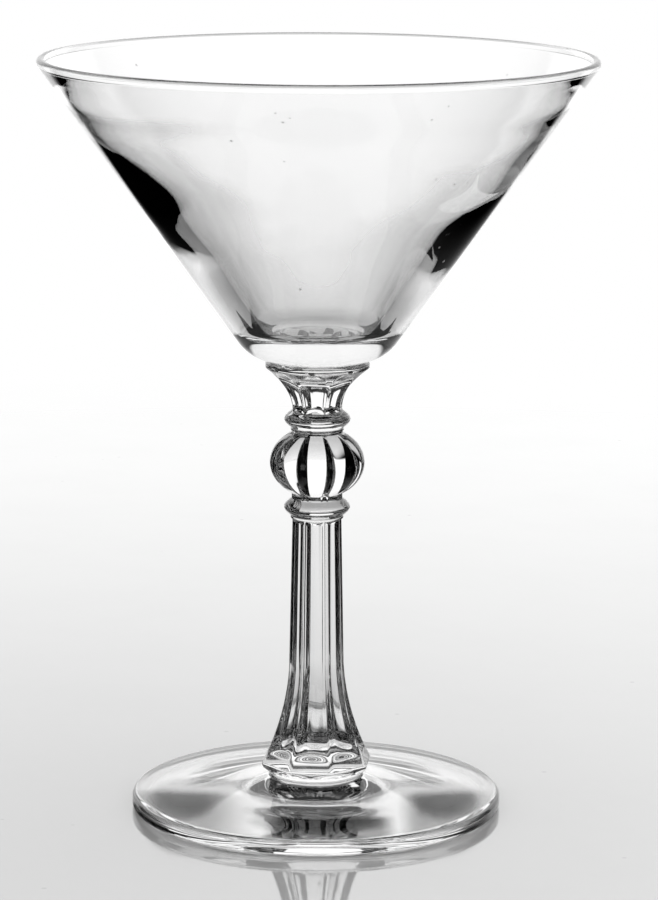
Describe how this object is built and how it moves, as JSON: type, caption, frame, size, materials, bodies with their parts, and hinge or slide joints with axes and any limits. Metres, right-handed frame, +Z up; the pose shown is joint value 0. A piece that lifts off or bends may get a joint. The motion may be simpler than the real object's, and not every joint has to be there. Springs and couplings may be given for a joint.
{
  "type": "sherbet glass",
  "caption": "Stemmed sherbet glass with a wide conical bowl, a fluted stem with a melon knop between plain collars, and a round foot.",
  "frame": {"origin": "on the axis of the glass, on the plane that its foot stands on", "axes": "+Z up along the axis of the glass; one flute of the stem faces -Y"},
  "size_m": [0.102, 0.102, 0.14],
  "materials": {
    "blown_glass": "colourless, fire-polished",
    "pressed_glass": "colourless, pressed, faint mould seams",
    "foot_glass": "colourless, smooth, faint tool rings"
  },
  "bodies": {
    "root": {"bowl": "blown_glass", "stem": "pressed_glass", "foot": "foot_glass"}
  },
  "joints": []
}
